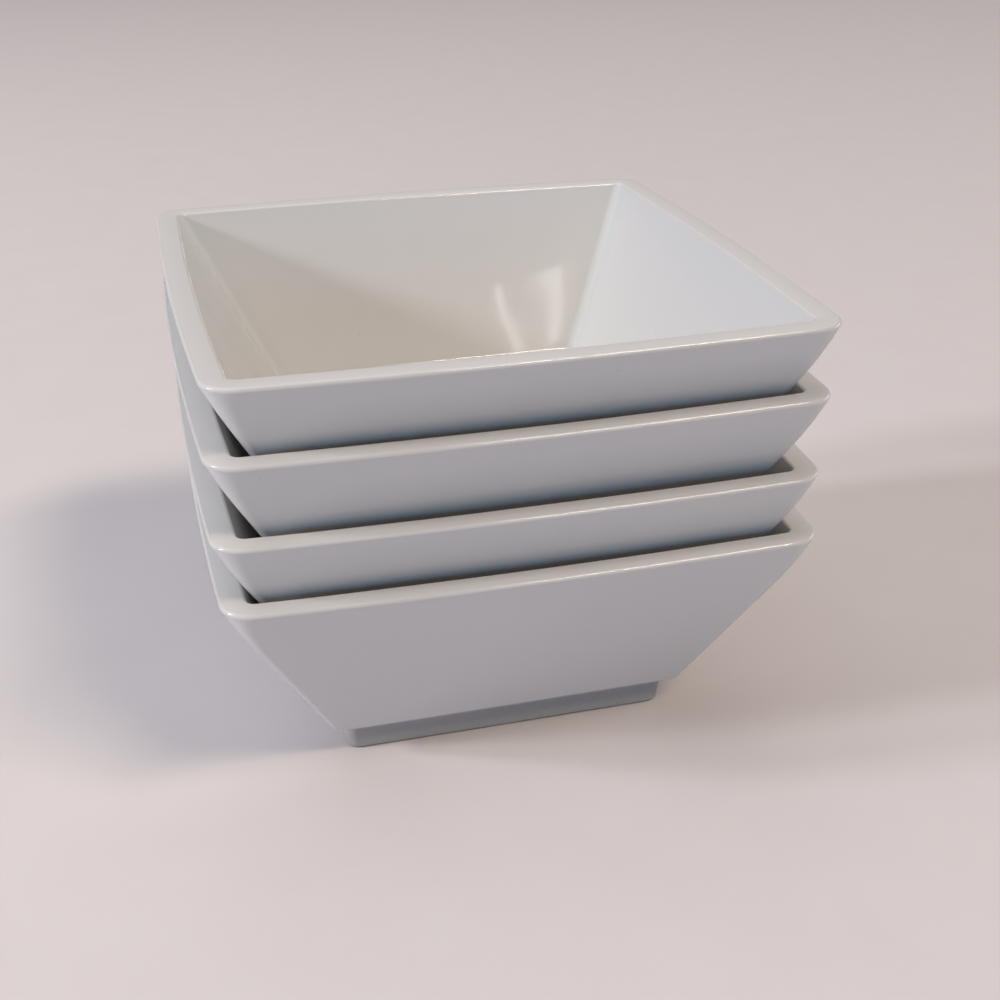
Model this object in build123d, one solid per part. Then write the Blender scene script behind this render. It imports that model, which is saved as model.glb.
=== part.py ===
from build123d import *
import os
from math import atan2, degrees, radians, sin, tan

# Four square porcelain dishes, nested in one stack.
# Millimetres, +Z up. The origin is on the table, under the middle of the stack.

# The slanted wall of one dish
rim_width = 91.2         # across the top, before the edge is rounded
base_width = 58.6        # across the wall's lower edge
dish_height = 38.3       # from the table to the rim
wall_thickness = 4.1     # of the wall, measured level
rim_bow = 0.95           # how far the middle of a side stands out from its ends, at the rim
base_bow = 0.1           # the same at the wall's lower edge

# Rounding of the four upright corners, in plan
rim_corner_outside = 5.6
shoulder_drop = 4.5      # the outer corners are rounder from here up to the rim
shoulder_corner = 2.9
base_corner_outside = 1.4
rim_corner_inside = 1.4
floor_corner_inside = 1.5

# The floor and the foot under it
foot_height = 5.6        # from the table to the wall's lower edge
foot_band = 3.6          # level width of the foot where it stands
foot_draft = 6.0         # degrees that the foot's outer side leans in towards the table
foot_corner = 1.9        # upright corners of the foot, in plan
foot_room = 0.75         # level room between a foot and the wall of the dish that it stands in
floor_rise = 4.65        # of the thinnest floor, above the wall's lower edge
floor_plate = 4.25       # clay between the thinnest floor and the hollow inside the foot

# Rounded edges
rim_edge_outside = 0.55
rim_edge_inside = 0.7
floor_edge = 1.0
base_edge = 0.7
foot_root = 0.6
foot_edge = 0.6

# The stack: how far a floor is thicker than the thinnest, and how a dish lies in the one below it,
# or on the table
seat_clearance = 0.1     # between a foot and the floor that it stands on
wall_clearance = 0.25    # least level gap between two nested walls
stack = {
    "bottom_dish": dict(extra_floor=0.0, shift=(0.25, 0.5), turn=0.0),
    "second_dish": dict(extra_floor=2.3, shift=(-0.5, 0.05), turn=0.1),
    "third_dish": dict(extra_floor=0.6, shift=(-0.1, -0.9), turn=0.55),
    "top_dish": dict(extra_floor=0.4, shift=(0.35, -0.3), turn=0.2),
}

# Worked out from the sizes above
rim_half = rim_width / 2
base_half = base_width / 2
wall_height = dish_height - foot_height
wall_slope = (rim_half - base_half) / wall_height


def outside_half(height):
    """Half-width of the outside of the wall, beside a corner, at a height above the table."""
    return base_half + wall_slope * (height - foot_height)


def inside_half(height):
    """Half-width of the inside of the wall, beside a corner, at a height above the table."""
    return outside_half(height) - wall_thickness


def bow(height):
    """How far the middle of the wall's side stands out from its ends, at a height above the table."""
    return base_bow + (rim_bow - base_bow) * (height - foot_height) / wall_height


foot_half = inside_half(foot_height + floor_rise) - foot_room
recess_depth = foot_height + floor_rise - floor_plate


def outline(half, corner, side_bow, height):
    """A level square face with bowed sides and round corners, made of eight arcs that meet smoothly.

    half is from the axis to the end of a side, and the middle of the side stands out from it by side_bow.
    """
    corner_centre = half - corner
    swell = degrees(2 * atan2(side_bow, corner_centre))
    side_radius = corner + corner_centre / sin(radians(swell))
    arcs = []
    for quarter in range(4):
        turn = Rot(0, 0, 90 * quarter)
        arcs.append(turn * CenterArc((half + side_bow - side_radius, 0), side_radius, -swell, 2 * swell))
        arcs.append(turn * CenterArc((corner_centre, corner_centre), corner, swell, 90 - 2 * swell))
    return Pos(0, 0, height) * make_face(arcs)


def tapered_block(*sections):
    """A solid with straight slanted sides through outlines, each given as half, corner, bow and height."""
    return loft([outline(*section) for section in sections], ruled=True)


def level_face(solid, height):
    """The flat face of a solid that lies at a height."""
    flats = solid.faces().filter_by(GeomType.PLANE)
    return min(flats, key=lambda face: abs(face.center().Z - height))


def round_outer(solid, height, radius):
    """Round the outer border of the level face at a height."""
    return solid.fillet(radius, level_face(solid, height).outer_wire().edges())


def round_inner(solid, height, radius):
    """Round the border of the opening in the level face at a height."""
    return solid.fillet(radius, level_face(solid, height).inner_wires()[0].edges())


def make_dish(floor_height):
    """One dish, standing on the table, with its floor at a height."""
    shoulder = dish_height - shoulder_drop
    foot_top_half = foot_half + foot_height * tan(radians(foot_draft))
    body = tapered_block(
        (base_half, base_corner_outside, base_bow, foot_height),
        (outside_half(shoulder), shoulder_corner, bow(shoulder), shoulder),
        (rim_half, rim_corner_outside, rim_bow, dish_height),
    )
    foot = tapered_block(
        (foot_half, foot_corner, base_bow, 0),
        (foot_top_half, foot_corner, base_bow, foot_height),
    )
    hollow = tapered_block(
        (inside_half(floor_height), floor_corner_inside, bow(floor_height), floor_height),
        (inside_half(dish_height), rim_corner_inside, rim_bow, dish_height),
    )
    recess = extrude(outline(foot_half - foot_band, foot_corner, base_bow, 0), recess_depth)
    dish = (body + foot - hollow - recess).solid()
    dish = round_outer(dish, floor_height, floor_edge)
    dish = round_inner(dish, dish_height, rim_edge_inside)
    dish = round_outer(dish, dish_height, rim_edge_outside)
    dish = round_outer(dish, recess_depth, foot_root)
    dish = round_inner(dish, foot_height, foot_root)
    dish = round_outer(dish, foot_height, base_edge)
    dish = round_inner(dish, 0, foot_edge)
    return round_outer(dish, 0, foot_edge)


def floor_above_table(lie):
    """Height of a dish's floor above what it stands on."""
    return foot_height + floor_rise + lie["extra_floor"]


def landing(below, lie):
    """Height at which a dish comes to stand in the one below: on its floor, or wall against wall if that is higher."""
    sideways = max(abs(lie["shift"][0]), abs(lie["shift"][1])) + rim_half * sin(radians(abs(lie["turn"])))
    on_floor = floor_above_table(below) + seat_clearance
    on_wall = (wall_thickness + wall_clearance + sideways) / wall_slope
    return max(on_floor, on_wall)


os.makedirs("parts", exist_ok=True)
place = Pos(0, 0, 0)
below = None
for name, lie in stack.items():
    rise = landing(below, lie) if below else 0
    place = place * Pos(*lie["shift"], rise) * Rot(0, 0, lie["turn"])
    dish = place * make_dish(floor_above_table(lie))
    dish.label = name
    export_step(dish, f"parts/{name}.step")
    stands_at = place.position
    print(f"{name} stands at {stands_at.X:.2f}, {stands_at.Y:.2f}, {stands_at.Z:.2f}, "
          f"floor at {stands_at.Z + floor_above_table(lie):.2f}, rim at {stands_at.Z + dish_height:.2f}")
    below = lie
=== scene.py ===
# %% [markdown]
# # A stack of four square porcelain dishes
#
# The object is four alike sauce dishes, nested one in another. Each was pressed from white porcelain clay
# in one piece, dipped in clear glaze and fired. The solids of the dishes come as a fixed frame, in metres
# with +Z up, and everything in this lesson is built around that frame. The finished surfaces have to stay
# inside it.

from math import cos, pi, radians, sin, tan

import bpy
import numpy as np
from mathutils import Matrix, Vector


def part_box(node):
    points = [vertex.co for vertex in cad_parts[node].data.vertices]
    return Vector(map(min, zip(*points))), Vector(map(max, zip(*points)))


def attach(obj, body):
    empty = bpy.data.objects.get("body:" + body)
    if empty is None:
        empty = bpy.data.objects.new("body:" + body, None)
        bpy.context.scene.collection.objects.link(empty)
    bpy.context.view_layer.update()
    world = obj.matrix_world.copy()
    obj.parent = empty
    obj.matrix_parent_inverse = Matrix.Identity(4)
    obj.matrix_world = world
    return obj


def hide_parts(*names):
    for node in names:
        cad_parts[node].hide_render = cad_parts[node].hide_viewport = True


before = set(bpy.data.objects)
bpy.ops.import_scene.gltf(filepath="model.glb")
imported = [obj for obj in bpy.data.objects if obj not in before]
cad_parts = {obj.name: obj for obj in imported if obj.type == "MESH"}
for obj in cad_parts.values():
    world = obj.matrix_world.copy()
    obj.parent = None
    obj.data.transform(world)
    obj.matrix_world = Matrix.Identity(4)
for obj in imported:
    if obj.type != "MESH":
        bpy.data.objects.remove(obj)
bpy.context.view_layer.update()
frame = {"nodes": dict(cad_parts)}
scene = bpy.context.scene
scene.view_settings.view_transform = "Standard"
print("solids in the frame:", ", ".join(frame["nodes"]))

# %% [markdown]
# ## The camera
#
# The camera looks down at the stack from the front, a little to its left, from about a forearm's length.
# A camera can be aimed with a tracking constraint, but here its three axes are worked out from yaw, pitch and
# roll, because that also places a camera that is slightly turned about its own line of sight. The small shift
# is the framing: the stack stands a little above the middle of the picture.

# %% Camera
EYE = Vector((-0.04970, -0.21542, 0.13828))
YAW = 0.2725
PITCH = 0.4860
ROLL = 0.0014
LENS, SENSOR = 51.07, 36.0      # millimetres
SHIFT = (-0.025, 0.040)
NEAREST = 0.01

forward = Vector((sin(YAW) * cos(PITCH), cos(YAW) * cos(PITCH), -sin(PITCH)))
level_right = forward.cross(Vector((0, 0, 1))).normalized()
level_up = level_right.cross(forward)
right = level_right * cos(ROLL) + level_up * sin(ROLL)
up = level_up * cos(ROLL) - level_right * sin(ROLL)
camera = bpy.data.objects.new("camera", bpy.data.cameras.new("camera"))
camera.matrix_world = Matrix.Translation(EYE) @ Matrix((right, up, -forward)).transposed().to_4x4()
camera.data.sensor_width = SENSOR
camera.data.lens = LENS
camera.data.shift_x, camera.data.shift_y = SHIFT
camera.data.clip_start = NEAREST
scene.collection.objects.link(camera)
scene.camera = camera
print("camera at", [round(1000 * value) for value in EYE], "mm")

# %% [markdown]
# ## The sizes of a dish
#
# All four dishes came from one mould, so one set of sizes serves them all. Seen from the side, the wall is a
# straight slant. Its sides stand out a little in the middle, as pressed clay does when it dries, and its upright
# corners are sharp near the foot and rounder at the rim. These three change with the height, so a small function
# of the height gives each of them.

# %% Sizes of a dish, in millimetres
RIM_HALF, BASE_HALF = 45.6, 29.3        # from the axis to the wall's outside, at the rim and at its lower edge
DISH_HEIGHT, FOOT_HEIGHT = 38.3, 5.6
FLOOR_HEIGHT = 10.25                    # of the thinnest floor
WALL = 4.1                              # measured level
RIM_BOW, BASE_BOW = 0.95, 0.1           # how far the middle of a side stands out
RIM_CORNER, BASE_CORNER, FOOT_CORNER = 5.6, 1.4, 1.9
RIM_INNER_CORNER, FLOOR_CORNER = 1.4, 1.5
CORNER_GROWTH = 1.2                     # of the outer corners, evenly up the wall
SHOULDER = 0.7                          # share of the wall's height above which they grow faster
FOOT_HALF, FOOT_BAND, FOOT_DRAFT = 26.768, 3.6, radians(6)
RECESS_DEPTH = 6.0                      # of the hollow inside the foot
SLOPE = (RIM_HALF - BASE_HALF) / (DISH_HEIGHT - FOOT_HEIGHT)


def climb(height):
    """Share of the wall's height: 0 at its lower edge and 1 at the rim."""
    return (height - FOOT_HEIGHT) / (DISH_HEIGHT - FOOT_HEIGHT)


def outside_half(height):
    """Half-width of the wall's outside: a straight line from the base to the rim."""
    return BASE_HALF + SLOPE * (height - FOOT_HEIGHT)


def side_bow(height):
    """How far the middle of a side stands out, growing evenly from the base to the rim."""
    return BASE_BOW + (RIM_BOW - BASE_BOW) * climb(height)


def outer_corner(height):
    """Radius of the wall's outer corners: an even growth up the wall, and a squared one above the shoulder."""
    above = np.clip((climb(height) - SHOULDER) / (1 - SHOULDER), 0, None)
    return BASE_CORNER + CORNER_GROWTH * climb(height) + (RIM_CORNER - BASE_CORNER - CORNER_GROWTH) * above ** 2


print("the wall leans out by", round(SLOPE, 3), "mm for each mm of height")

# %% [markdown]
# ## The plan of a dish
#
# Seen from above, a dish is a square with round corners and bowed sides. Such an outline could be drawn with a
# curve object, but it changes all the way up the wall. So it is a formula, made of eight arcs that meet smoothly,
# and it can be asked for at any width, corner and bow.

# %% Plan of a dish
SIDE_STEPS = 44
CORNER_STEPS = 14
TINY = 1e-6                             # keeps the middle of the floor from dividing by nothing


def plan_outline(half, corner_centre, bow):
    """Points round a bowed square, one row for each half-width given (all in millimetres).

    Each corner is an arc about (c, c) with radius half - c. Each side is a long arc that meets the corner's
    arcs without a kink: its half-angle is 2 atan(bow / c), and its radius is the corner's plus c / sin(that angle).
    Points on a side lie closer together near its ends, along a sine curve.
    """
    half, corner_centre, bow = (np.maximum(a, TINY)[:, None] for a in (half, corner_centre, bow))
    swell = 2 * np.arctan2(bow, corner_centre)
    corner = half - corner_centre
    side_radius = corner + corner_centre / np.sin(swell)
    along_side = swell * np.sin(pi / 2 * np.linspace(-1, 1, SIDE_STEPS + 1)[:-1])
    along_corner = swell + (pi / 2 - 2 * swell) * np.linspace(0, 1, CORNER_STEPS + 1)[:-1]
    side_centre = half + bow - side_radius
    x = np.hstack([side_centre + side_radius * np.cos(along_side), corner_centre + corner * np.cos(along_corner)])
    y = np.hstack([side_radius * np.sin(along_side), corner_centre + corner * np.sin(along_corner)])
    return np.hstack([x, -y, -x, y]), np.hstack([y, x, -y, -x])


rim_x, rim_y = plan_outline(np.array([RIM_HALF]), np.array([RIM_HALF - RIM_CORNER]), np.array([RIM_BOW]))
print("plan outline:", rim_x.shape[1], "points,", round(float(np.ptp(rim_x)), 2), "mm across at the rim")

# %% [markdown]
# ## Rounding a profile
#
# Cut through the middle, a dish is a floor, a slanted wall with a softly rounded rim, and a low foot that
# stands back under the wall. A potter knows this line as the profile. It could be modelled by bevelling the
# edges of a box, but a glazed edge is rounder than a plain bevel, so the profile is a list of corners, each
# with its own radius, and a function rounds them.

# %% Rounding a profile
ARC_STEPS = 9


def spaced(count):
    """Numbers from 0 to 1, closer together at both ends, along a cosine curve."""
    return (1 - np.cos(pi * np.linspace(0, 1, count + 1))) / 2


def rounded_section(corners, radii, steps):
    """The profile through corners, as rows of half-width, height, corner centre and bow.

    A corner of radius r that turns by an angle t starts r tan(t / 2) before the corner and ends as far after it.
    Its points swing about the arc's centre, and the last two columns change evenly along each piece.
    The second result numbers the pieces: even for a straight run, odd for a rounded corner.
    """
    rows, piece = [], []
    start = corners[0]
    for index, radius in enumerate(radii):
        before, edge, after = corners[index:index + 3]
        back, on = (before - edge), (after - edge)
        back_length, on_length = np.hypot(*back[:2]), np.hypot(*on[:2])
        between = np.arccos(np.dot(back[:2], on[:2]) / back_length / on_length)
        reach = radius / tan(between / 2)
        enter, leave = edge + back * reach / back_length, edge + on * reach / on_length
        bisector = back[:2] / back_length + on[:2] / on_length
        centre = edge[:2] + bisector / np.hypot(*bisector) * radius / sin(between / 2)
        t = spaced(steps[index])[:-1, None]
        rows.append(start + (enter - start) * t)
        piece.append(np.full(len(t), 2 * index))
        t = spaced(ARC_STEPS)[:-1, None]
        swing = pi - between
        arc = enter + (leave - enter) * t
        arc[:, :2] = centre + (np.sin((1 - t) * swing) * (enter[:2] - centre)
                               + np.sin(t * swing) * (leave[:2] - centre)) / sin(swing)
        rows.append(arc)
        piece.append(np.full(len(t), 2 * index + 1))
        start = leave
    t = spaced(steps[-1])[:, None]
    rows.append(start + (corners[-1] - start) * t)
    piece.append(np.full(len(t), 2 * len(radii)))
    return np.vstack(rows), np.concatenate(piece)


quarter, _ = rounded_section([np.array(corner, float) for corner in ((0, 0, 0, 0), (1, 0, 0, 0), (1, 1, 0, 0))],
                             [0.5], [1, 1])
print("a rounded corner of a unit square:", len(quarter), "points")

# %% [markdown]
# ## The profile of a dish
#
# Every corner of the profile also says how the plan is rounded and bowed at that height. The rim's top is not
# quite flat: glaze draws it into a very low crown, which is what holds a soft line of light along it.

# %% Profile of a dish
CROWN_TILT, CROWN_RADIUS = radians(5), 13.5
RIM_INNER_ROUND, RIM_OUTER_ROUND = 0.7, 0.55
FLOOR_ROUND, BASE_ROUND, FOOT_ROUND = 1.0, 0.7, 0.6
# Steps along the straight runs, from the middle of the floor to the middle of the underside
RUN_STEPS = [9, 27, 3, 3, 27, 4, 6, 4, 6, 9]
# Pieces of the profile by number: even for a straight run, odd for a rounded corner
FLOOR_EDGE, INNER_WALL, RIM_INSIDE, RIM_OUTSIDE, OUTER_WALL, BASE_EDGE = 1, 2, 3, 7, 8, 9
FOOT_SIDE, FOOT_EDGE, FOOT_RING, FOOT_INSIDE = 12, 13, 14, 15


def dish_section(floor_height):
    """The profile of one dish, from the middle of its floor over the rim to the middle of its underside.

    The crown is two lines that fall from the middle of the rim at the crown's tilt, and a large arc rounds them.
    """
    foot_top = FOOT_HALF + FOOT_HEIGHT * tan(FOOT_DRAFT)
    recess = FOOT_HALF - FOOT_BAND
    inside = outside_half(floor_height) - WALL
    crest = CROWN_RADIUS * (1 / cos(CROWN_TILT) - 1)
    fall = WALL / 2 * tan(CROWN_TILT) - crest
    crown_centre = RIM_HALF - (RIM_CORNER + WALL + RIM_INNER_CORNER) / 2
    corners = [
        (0, floor_height, 0, 0),
        (inside, floor_height, inside - FLOOR_CORNER, side_bow(floor_height)),
        (RIM_HALF - WALL - SLOPE * fall, DISH_HEIGHT - fall, RIM_HALF - WALL - RIM_INNER_CORNER, RIM_BOW),
        (RIM_HALF - WALL / 2, DISH_HEIGHT + crest, crown_centre, RIM_BOW),
        (RIM_HALF - SLOPE * fall, DISH_HEIGHT - fall, RIM_HALF - RIM_CORNER, RIM_BOW),
        (BASE_HALF, FOOT_HEIGHT, BASE_HALF - BASE_CORNER, BASE_BOW),
        (foot_top, FOOT_HEIGHT, foot_top - FOOT_CORNER, BASE_BOW),
        (FOOT_HALF, 0, FOOT_HALF - FOOT_CORNER, BASE_BOW),
        (recess, 0, recess - FOOT_CORNER, BASE_BOW),
        (recess, RECESS_DEPTH, recess - FOOT_CORNER, BASE_BOW),
        (0, RECESS_DEPTH, 0, 0),
    ]
    radii = [FLOOR_ROUND, RIM_INNER_ROUND, CROWN_RADIUS, RIM_OUTER_ROUND, BASE_ROUND] + 4 * [FOOT_ROUND]
    section, piece = rounded_section([np.array(corner, float) for corner in corners], radii, RUN_STEPS)
    wall = np.flatnonzero(piece == OUTER_WALL)
    section[wall, 2] = section[wall, 0] - outer_corner(section[wall, 1])
    for rows in (np.flatnonzero(piece == RIM_OUTSIDE), np.flatnonzero(piece == BASE_EDGE)):
        ends = [rows[0] - 1, rows[-1] + 1]
        section[rows, 2] = np.interp(rows, ends, section[ends, 2])
    return section, piece


section, piece = dish_section(FLOOR_HEIGHT)
print("profile:", len(section), "points, widest half-width", round(float(section[:, 0].max()), 2), "mm")

# %% [markdown]
# ## The surface of a dish
#
# Carrying the profile round the plan gives the whole skin of the dish as one grid: one row for each point of
# the profile, one column for each point of the plan. The first and last rows shrink to a point, so they become
# one vertex each with a fan of triangles, and the last column joins the first.
# Fired walls are never quite flat. Long, low waves of a few hundredths of a millimetre are added as real shape,
# because they are what makes a reflection in glaze swim. They only ever lie inside the plain surface.

# %% Surface of a dish
WAVE_COUNT = 22
WAVE_LENGTHS = (11.0, 70.0)
WAVE_TILT = 0.004


def glaze_waves(points, seed):
    """Height of low waves at points: the sum of sine waves that run in many directions.

    Each wave's height is in proportion to its length, so that all of them tilt the surface alike.
    """
    draw = np.random.default_rng(seed)
    heading = draw.normal(size=(3, WAVE_COUNT))
    heading /= np.linalg.norm(heading, axis=0)
    length = np.exp(draw.uniform(*np.log(WAVE_LENGTHS), WAVE_COUNT))
    height = WAVE_TILT * (2 / WAVE_COUNT) ** 0.5 * length / (2 * pi)
    phase = draw.uniform(0, 2 * pi, WAVE_COUNT)
    return np.sin(points @ heading * (2 * pi / length) + phase) @ height


def dish_grid(floor_height, seed):
    """The skin of one dish on its own foot, as a grid of points: the profile carried round the plan, with waves."""
    section, piece = dish_section(floor_height)
    half, height, corner_centre, bow = section.T
    x, y = plan_outline(half, corner_centre, bow)
    grid = np.stack([x, y, np.broadcast_to(height[:, None], x.shape)], axis=2)
    across = np.roll(grid, -1, axis=1) - np.roll(grid, 1, axis=1)
    along = np.gradient(grid, axis=0)
    outward = np.cross(along, across)
    outward[[0, -1]] = [[[0, 0, 1]], [[0, 0, -1]]]
    outward /= np.linalg.norm(outward, axis=2, keepdims=True)
    wave = glaze_waves(grid, seed)
    return grid + outward * (wave - wave.max())[:, :, None], section, piece


def grid_faces(rows, columns):
    """Faces of a closed grid: quads between rows, the last column joined to the first, a fan at each end.

    The first and last rows are single vertices, numbered 0 and last; the rows between are numbered in order.
    """
    ring = np.arange(columns)
    on = np.roll(ring, -1)
    first = 1 + columns * np.arange(rows - 3)[:, None]
    quads = np.stack([first + ring, first + columns + ring, first + columns + on, first + on], axis=2)
    low = 1 + columns * (rows - 3)
    top_fan = np.stack([np.zeros_like(ring), 1 + ring, 1 + on], axis=1)
    end_fan = np.stack([np.full_like(ring, low + columns), low + on, low + ring], axis=1)
    return quads.reshape(-1, 4).tolist() + top_fan.tolist() + end_fan.tolist()


print("one dish:", len(section), "rows of", rim_x.shape[1], "points")

# %% [markdown]
# ## Where the glaze is thick, thin or missing
#
# Molten glaze creeps away from sharp edges and gathers in hollows, and the foot is wiped bare so that it does
# not stick in the kiln. The shader could guess this from the shape, but the profile knows it exactly, so each
# vertex carries two numbers: how thick the glaze lies there, from -1 on an edge to 1 in a crease, and whether the
# clay is bare.

# %% Glaze marks on the vertices
BARE_BELOW = (4.2, 4.8)         # height on the foot between which the glaze ends, in millimetres
CREASE_NEAR = (0.86, 0.96)      # share of the half-width between which a corner's crease fills
CREASE_RISE = (0, 12)           # height over which the crease fills, in millimetres
EDGE_SPREAD = 9                 # rows of the profile over which a thin edge fades


def soft_step(value, start, end):
    """0 before start, 1 after end, and a smooth S-shaped rise (3t^2 - 2t^3) between them."""
    t = np.clip((value - start) / (end - start), 0, 1)
    return t * t * (3 - 2 * t)


def glaze_marks(grid, section, piece):
    """Thickness of the glaze and bareness of the clay for each point of a dish's grid.

    An edge is a row on a rounded rim or base, blurred along the profile. A crease is where both level distances
    from the axis are nearly the half-width, on the inside, and all round the floor's edge.
    """
    height = section[:, 1]
    edge = np.isin(piece, [RIM_INSIDE, RIM_OUTSIDE, BASE_EDGE]).astype(float)
    blur = np.hanning(EDGE_SPREAD)
    edge = np.convolve(edge, blur / blur.sum(), mode="same")
    inner_side = piece <= INNER_WALL
    plan_corner = np.abs(grid[:, :, :2]).min(axis=2) / np.maximum(section[:, :1], TINY)
    crease = soft_step(plan_corner, *CREASE_NEAR) * inner_side[:, None] * soft_step(height, *CREASE_RISE)[:, None]
    crease = np.maximum(crease, (piece == FLOOR_EDGE)[:, None] * 1.0)
    on_foot = np.isin(piece, [FOOT_SIDE, FOOT_EDGE, FOOT_RING, FOOT_INSIDE])
    bare = on_foot * (1 - soft_step(height, *BARE_BELOW))
    return crease - edge[:, None], np.broadcast_to(bare[:, None], crease.shape)


def one_end_each(values):
    """A grid's values as one list: a single value for the first and the last row, all of the rows between."""
    return np.concatenate([values[0, :1], values[1:-1].reshape(-1, *values.shape[2:]), values[-1, :1]])


print("the glaze ends", BARE_BELOW[0], "to", BARE_BELOW[1], "mm above the table")

# %% [markdown]
# ## Four dishes in their places
#
# The four dishes differ only in the thickness of the floor, in their waves, and in how they were set down: each
# lies a hair off the one below. The place of each is read from the frame's own box for that solid, and the
# finished surface hides the plain solid and moves with its body.

# %% Four dishes
MM = 0.001
LIES = {
    "bottom_dish": dict(extra_floor=0.0, turn=0.0, seed=11),
    "second_dish": dict(extra_floor=2.3, turn=0.1, seed=12),
    "third_dish": dict(extra_floor=0.6, turn=0.65, seed=13),
    "top_dish": dict(extra_floor=0.4, turn=0.85, seed=14),
}
dishes = {}
for name, lie in LIES.items():
    grid, section, piece = dish_grid(FLOOR_HEIGHT + lie["extra_floor"], lie["seed"])
    thickness, bare = glaze_marks(grid, section, piece)
    low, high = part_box(name)
    stand = np.array([(low.x + high.x) / 2, (low.y + high.y) / 2, low.z])
    turn = radians(lie["turn"])
    turned = np.array([[cos(turn), -sin(turn), 0], [sin(turn), cos(turn), 0], [0, 0, 1]])
    points = one_end_each(grid) * MM @ turned.T + stand
    mesh = bpy.data.meshes.new(name + "_skin")
    mesh.from_pydata(points, [], grid_faces(*grid.shape[:2]))
    mesh.shade_smooth()
    for mark, values in (("glaze_thickness", thickness), ("bare_clay", bare)):
        layer = mesh.attributes.new(mark, "FLOAT", "POINT")
        layer.data.foreach_set("value", one_end_each(values).astype(np.float32))
    dish = bpy.data.objects.new(name + "_porcelain", mesh)
    scene.collection.objects.link(dish)
    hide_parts(name)
    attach(dish, name)
    dishes[name] = dish
    print(f"{name}: {len(mesh.polygons)} faces, stands {stand[2] / MM:.1f} mm above the table")

# %% [markdown]
# ## Colours and nodes
#
# Colours are written as on a paint chart, in sRGB hex, and one function turns them into the linear numbers
# that Blender mixes. One more small function adds a shader node, sets it and joins it up.

# %% Colour and node helpers
PORCELAIN_WHITE, PORCELAIN_DRIFT = "#D0CDC9", "#CCCAC7"


def linear(hex_colour):
    """An sRGB hex colour as linear RGBA.

    Each value is divided by 12.92 below 0.04045, and is ((value + 0.055) / 1.055) to the power 2.4 above it.
    """
    value = np.array([int(hex_colour[i:i + 2], 16) for i in (1, 3, 5)]) / 255
    value = np.where(value <= 0.04045, value / 12.92, ((value + 0.055) / 1.055) ** 2.4)
    return (*value.tolist(), 1.0)


def add_node(tree, kind, settings=(), links=()):
    """One node of a kind.

    Settings are its properties or, by number or name, its inputs. Links join its inputs to other nodes' outputs.
    """
    node = tree.nodes.new(kind)
    for key, value in dict(settings).items():
        if isinstance(key, str) and hasattr(node, key):
            setattr(node, key, value)
        else:
            node.inputs[key].default_value = value
    for key, output in dict(links).items():
        tree.links.new(output, node.inputs[key])
    return node


print("porcelain white in linear numbers:", [round(value, 3) for value in linear(PORCELAIN_WHITE)[:3]])

# %% [markdown]
# ## Colour of the porcelain
#
# Porcelain is a white, fine clay under a thin coat of clear glass. The clay gives an even, slightly warm white
# that drifts a little across a wall. Glaze is not perfect: on edges, where it is thin, it shows the warm clay, it
# is cooler where it has gathered, and a few specks of iron have burnt through. The foot is bare clay, a little
# greyer, and its tone is darkened further as painted shade, standing in for the shadow under the overhanging wall.
# This could be painted on, but patterns in real millimetres on the object fit all four dishes at once.

# %% Colour of the porcelain
PER_METRE = 1000.0
CLOUD_MM = 28.0         # slow drift of the white across a wall
SPECK_CELL_MM = 7.0     # one cell may hold one speck
SPECK_MM = 0.16         # radius of a speck
GRIT_MM = 0.35          # grain of the bare clay, drawn coarser than it is so that it shows
THIN_GLAZE, POOLED_GLAZE, IRON_SPECK = "#CAC1B6", "#C6C9C5", "#A39786"
THIN_SHARE, POOLED_SHARE, SPECK_SHARE = 0.25, 0.5, 0.5
# Bare clay of the foot, darkened beyond its own grey as painted shade for the shadow under the wall
BARE_CLAY_WITH_PAINTED_SHADE, BARE_GRAIN_WITH_PAINTED_SHADE = "#ABA6A1", "#9F9A95"

# White porcelain under a clear, glossy glaze: an even white with a weak, sharp mirror over it
porcelain = bpy.data.materials.new("white_porcelain_under_clear_glaze")
porcelain.use_nodes = True
tree = porcelain.node_tree
tree.nodes.clear()
place = add_node(tree, "ShaderNodeTexCoord").outputs["Object"]
thickness = add_node(tree, "ShaderNodeAttribute", {"attribute_name": "glaze_thickness"}).outputs["Fac"]
bare = add_node(tree, "ShaderNodeAttribute", {"attribute_name": "bare_clay"}).outputs["Fac"]

cloud = add_node(tree, "ShaderNodeTexNoise", {"Scale": PER_METRE / CLOUD_MM, "Detail": 2.0}, {"Vector": place})
white = add_node(tree, "ShaderNodeMix",
                 {"data_type": "RGBA", 6: linear(PORCELAIN_WHITE), 7: linear(PORCELAIN_DRIFT)},
                 {0: cloud.outputs["Fac"]})
thin = add_node(tree, "ShaderNodeMapRange", {"From Min": 0.0, "From Max": -1.0, "To Max": THIN_SHARE},
                {"Value": thickness})
edge_tone = add_node(tree, "ShaderNodeMix", {"data_type": "RGBA", 7: linear(THIN_GLAZE)},
                     {0: thin.outputs[0], 6: white.outputs[2]})
pool = add_node(tree, "ShaderNodeMapRange", {"From Min": 0.0, "From Max": 1.0, "To Max": POOLED_SHARE},
                {"Value": thickness})
pool_tone = add_node(tree, "ShaderNodeMix", {"data_type": "RGBA", 7: linear(POOLED_GLAZE)},
                     {0: pool.outputs[0], 6: edge_tone.outputs[2]})
speck = add_node(tree, "ShaderNodeTexVoronoi", {"Scale": PER_METRE / SPECK_CELL_MM}, {"Vector": place})
speck_edge = SPECK_MM / SPECK_CELL_MM
speck_spot = add_node(tree, "ShaderNodeMapRange",
                      {"From Min": speck_edge, "From Max": speck_edge / 2, "To Max": SPECK_SHARE},
                      {"Value": speck.outputs["Distance"]})
speck_tone = add_node(tree, "ShaderNodeMix", {"data_type": "RGBA", 7: linear(IRON_SPECK)},
                      {0: speck_spot.outputs[0], 6: pool_tone.outputs[2]})
grit = add_node(tree, "ShaderNodeTexNoise", {"Scale": PER_METRE / GRIT_MM, "Detail": 3.0}, {"Vector": place})
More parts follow.
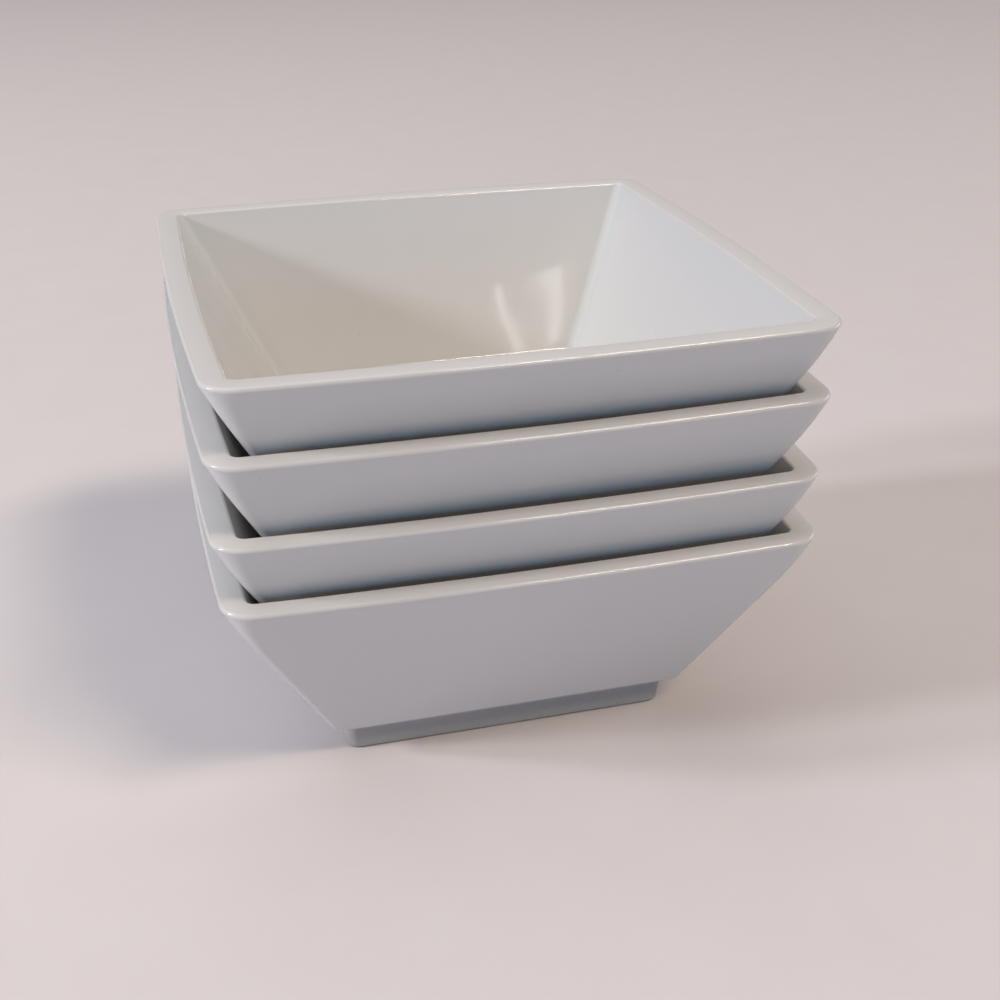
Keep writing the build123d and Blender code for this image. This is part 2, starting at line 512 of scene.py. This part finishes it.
# Painted shade: the foot's bare clay gets a darker tone that stands in for the shade under the overhanging wall
clay_tone_with_painted_shade = add_node(tree, "ShaderNodeMix", {"data_type": "RGBA", 6: linear(BARE_CLAY_WITH_PAINTED_SHADE), 7: linear(BARE_GRAIN_WITH_PAINTED_SHADE)},
                {0: grit.outputs["Fac"]})
colour = add_node(tree, "ShaderNodeMix", {"data_type": "RGBA"},
                  {0: bare, 6: speck_tone.outputs[2], 7: clay_tone_with_painted_shade.outputs[2]})
print("colour of the porcelain:", len(tree.nodes), "nodes")

# %% [markdown]
# ## Gloss of the glaze
#
# The coat of glass is a weak, sharp mirror, which is what a dielectric shader with an index of about 1.5 and a low
# roughness gives. Its skin is very faintly pebbled, like orange peel, and bare clay is matt and gritty. Both are
# too fine to model, so they are bumps, and the attribute for bare clay fades one into the other.

# %% Gloss of the glaze
GLAZE_IOR = 1.5
CLOUD_LOW, CLOUD_HIGH = 0.3, 0.7        # between these lies most of the drift's pattern
SMOOTHEST, ROUGHEST = 0.02, 0.045       # roughness of the glaze, drifting with the white
CLAY_ROUGHNESS = 0.75
PEEL_MM = 1.6                           # pebbles of the glaze's skin
PEEL_HEIGHT, GRIT_HEIGHT = 1e-6, 6e-5   # metres

gloss = add_node(tree, "ShaderNodeMapRange",
                 {"From Min": CLOUD_LOW, "From Max": CLOUD_HIGH, "To Min": SMOOTHEST, "To Max": ROUGHEST},
                 {"Value": cloud.outputs["Fac"]})
roughness = add_node(tree, "ShaderNodeMix", {"data_type": "FLOAT", 3: CLAY_ROUGHNESS},
                     {0: bare, 2: gloss.outputs[0]})
peel = add_node(tree, "ShaderNodeTexNoise", {"Scale": PER_METRE / PEEL_MM, "Detail": 1.0}, {"Vector": place})
peel_bump = add_node(tree, "ShaderNodeBump", {"Strength": 1.0, "Distance": PEEL_HEIGHT},
                     {"Height": peel.outputs["Fac"]})
bare_grit = add_node(tree, "ShaderNodeMath", {"operation": "MULTIPLY"}, {0: grit.outputs["Fac"], 1: bare})
grit_bump = add_node(tree, "ShaderNodeBump", {"Strength": 1.0, "Distance": GRIT_HEIGHT},
                     {"Height": bare_grit.outputs[0], "Normal": peel_bump.outputs[0]})
shader = add_node(tree, "ShaderNodeBsdfPrincipled", {"IOR": GLAZE_IOR},
                  {"Base Color": colour.outputs[2], "Roughness": roughness.outputs[0],
                   "Normal": grit_bump.outputs[0]})
add_node(tree, "ShaderNodeOutputMaterial", {}, {"Surface": shader.outputs[0]})
for dish in dishes.values():
    dish.data.materials.append(porcelain)
print(porcelain.name, "has", len(tree.nodes), "nodes")

# %% [markdown]
# ## The table
#
# The dishes stand on a sheet of pale, matt paper. A single large plane is enough, with a faint mottle so that it
# does not look like an empty page.

# %% Table
SHEET_REACH = 1.8
MOTTLE_PER_METRE = 60.0
PAPER_LIGHT, PAPER_DARK = "#D5CFCD", "#D1CAC9"

# Matt paper: a soft, even tone with almost no sheen
paper = bpy.data.materials.new("matt_paper")
paper.use_nodes = True
tree = paper.node_tree
tree.nodes.clear()
place = add_node(tree, "ShaderNodeTexCoord").outputs["Object"]
mottle = add_node(tree, "ShaderNodeTexNoise", {"Scale": MOTTLE_PER_METRE, "Detail": 4.0}, {"Vector": place})
tone = add_node(tree, "ShaderNodeMix", {"data_type": "RGBA", 6: linear(PAPER_LIGHT), 7: linear(PAPER_DARK)},
                {0: mottle.outputs["Fac"]})
shader = add_node(tree, "ShaderNodeBsdfPrincipled", {"Roughness": 0.8, "Specular IOR Level": 0.2},
                  {"Base Color": tone.outputs[2]})
add_node(tree, "ShaderNodeOutputMaterial", {}, {"Surface": shader.outputs[0]})
sheet = bpy.data.meshes.new("table")
sheet.from_pydata([(SHEET_REACH * x, SHEET_REACH * y, 0) for x, y in ((-1, -1), (1, -1), (1, 1), (-1, 1))],
                  [], [(0, 1, 2, 3)])
sheet.materials.append(paper)
table = bpy.data.objects.new("table", sheet)
scene.collection.objects.link(table)
print("the sheet is", 2 * SHEET_REACH, "m wide")

# %% [markdown]
# ## The room
#
# A shiny dish shows the room that it stands in. Here the room gives almost no light of its own, because the lamps
# do that, but the camera and the mirror of the glaze see it as a pale grey wall. The light path node tells those
# rays from the rest.

# %% Room
ROOM_LIGHT, ROOM_SEEN = 0.03, 0.55
ROOM_TONE = "#E6E6EC"

room = bpy.data.worlds.new("room")
room.use_nodes = True
scene.world = room
tree = room.node_tree
tree.nodes.clear()
ray = add_node(tree, "ShaderNodeLightPath").outputs
seen = add_node(tree, "ShaderNodeMath", {"operation": "MAXIMUM"},
                {0: ray["Is Camera Ray"], 1: ray["Is Glossy Ray"]})
brightness = add_node(tree, "ShaderNodeMapRange", {"To Min": ROOM_LIGHT, "To Max": ROOM_SEEN},
                      {"Value": seen.outputs[0]})
background = add_node(tree, "ShaderNodeBackground", {"Color": linear(ROOM_TONE)},
                      {"Strength": brightness.outputs[0]})
add_node(tree, "ShaderNodeOutputWorld", {}, {"Surface": background.outputs[0]})
print("the room shines at", ROOM_LIGHT, "and shows at", ROOM_SEEN)

# %% [markdown]
# ## Light
#
# The light is mostly soft: a large panel overhead and wide, weak fills on the right and in front. Two small panes
# of a cool window, low on the left, draw the shadow on the right, and a warm lamp high on the front right draws
# the one on the left and the bright line along the front rims. Two thin bars behind the viewer are there only to
# be mirrored, as two upright streaks on the inside of the back wall.
# A lamp's power is worked out from the level that it should give, so that all of them together show a colour
# about as it is written.

# %% Light
STACK_MIDDLE = Vector((0, 0, 0.04))


def studio_lamp(name, towards, distance, size, colour, level):
    """A rectangular lamp that faces the stack.

    A rectangle of power P gives P / (pi d^2) on a surface that faces it at distance d, and pi is the light at
    which white shows as white, so the power is level times pi squared times the distance squared.
    """
    lamp = bpy.data.lights.new(name, "AREA")
    lamp.shape = "RECTANGLE"
    lamp.size, lamp.size_y = size
    lamp.color = linear(colour)[:3]
    lamp.energy = level * pi ** 2 * distance ** 2
    holder = bpy.data.objects.new(name, lamp)
    aim = Vector(towards).normalized()
    holder.location = aim * distance + STACK_MIDDLE
    holder.rotation_mode = "QUATERNION"
    holder.rotation_quaternion = aim.to_track_quat("Z", "Y")
    scene.collection.objects.link(holder)
    print(f"{name}: {lamp.energy:.1f} W")


studio_lamp("overhead_panel", (-0.1, 0.2, 1.0), 2.4, (2.6, 2.6), "#FBFAFF", 0.43)
studio_lamp("window_front_pane", (-0.90, -0.10, 0.40), 1.5, (0.13, 0.16), "#F0F4FF", 0.38)
studio_lamp("window_back_pane", (-0.90, 0.06, 0.40), 1.5, (0.13, 0.16), "#F0F4FF", 0.38)
studio_lamp("warm_lamp", (0.36, -0.48, 0.80), 3.0, (1.10, 0.45), "#FFEEDC", 0.53)
studio_lamp("right_fill", (1.0, 0.15, 0.22), 3.0, (2.1, 0.7), "#E2EAFF", 0.18)
studio_lamp("front_fill", (0.0, -1.0, 0.13), 3.0, (2.4, 0.8), "#8CC8FF", 0.19)
studio_lamp("far_window_left_bar", (0.254, -0.784, 0.567), 2.0, (0.008, 0.145), "#FFFFFF", 0.0005)
studio_lamp("far_window_right_bar", (0.273, -0.777, 0.567), 2.0, (0.008, 0.145), "#FFFFFF", 0.0005)
